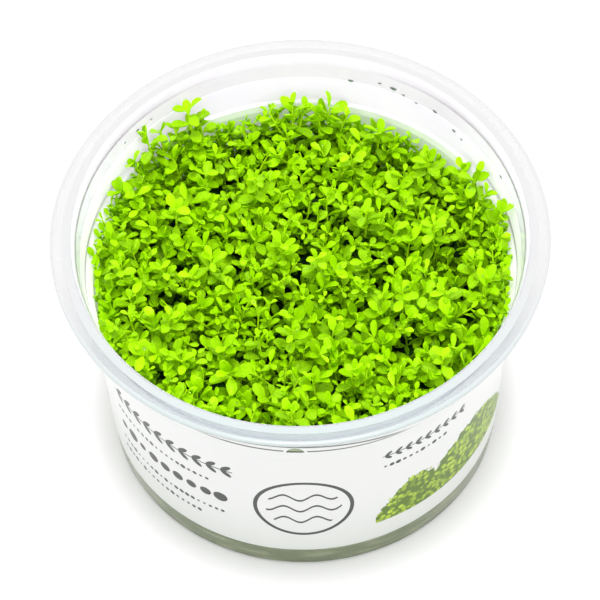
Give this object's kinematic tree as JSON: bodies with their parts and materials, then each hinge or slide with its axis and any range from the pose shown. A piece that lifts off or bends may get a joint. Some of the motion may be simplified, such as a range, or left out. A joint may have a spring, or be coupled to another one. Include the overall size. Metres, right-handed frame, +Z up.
{
  "type": "dwarf baby tears in a tissue-culture cup",
  "caption": "Carpet of tiny round-leaved aquarium plants standing on gel in an open, flanged, tapered clear plastic cup with a wrap-round label.",
  "frame": {"origin": "centre of the cup's flat base, on the surface that it rests on", "axes": "+Z up through the open mouth; -Y towards the front of the label, where its half-moon cut-out is; +X to the right seen from the front"},
  "size_m": [0.101, 0.101, 0.0607],
  "materials": {
    "cup_plastic": "translucent milky polypropylene, satin gloss",
    "label_film": null,
    "gel": "cloudy olive nutrient gel, glossy and moist",
    "carpet_leaves": "small glossy yellow-green leaves over darker depths",
    "shoot_leaves": "glossy bright yellow-green leaves on pale green stems"
  },
  "bodies": {
    "root": {"cup": "cup_plastic", "label": "label_film", "gel": "gel", "carpet": "carpet_leaves", "shoot_01": "shoot_leaves", "shoot_02": "shoot_leaves", "shoot_03": "shoot_leaves", "shoot_04": "shoot_leaves", "shoot_05": "shoot_leaves", "shoot_06": "shoot_leaves", "shoot_07": "shoot_leaves", "shoot_08": "shoot_leaves", "shoot_09": "shoot_leaves", "shoot_10": "shoot_leaves", "shoot_11": "shoot_leaves", "shoot_12": "shoot_leaves", "shoot_13": "shoot_leaves", "shoot_14": "shoot_leaves", "shoot_15": "shoot_leaves", "shoot_16": "shoot_leaves", "shoot_17": "shoot_leaves", "shoot_18": "shoot_leaves", "shoot_19": "shoot_leaves", "shoot_20": "shoot_leaves", "shoot_21": "shoot_leaves", "shoot_22": "shoot_leaves", "shoot_23": "shoot_leaves", "shoot_24": "shoot_leaves"}
  },
  "joints": []
}
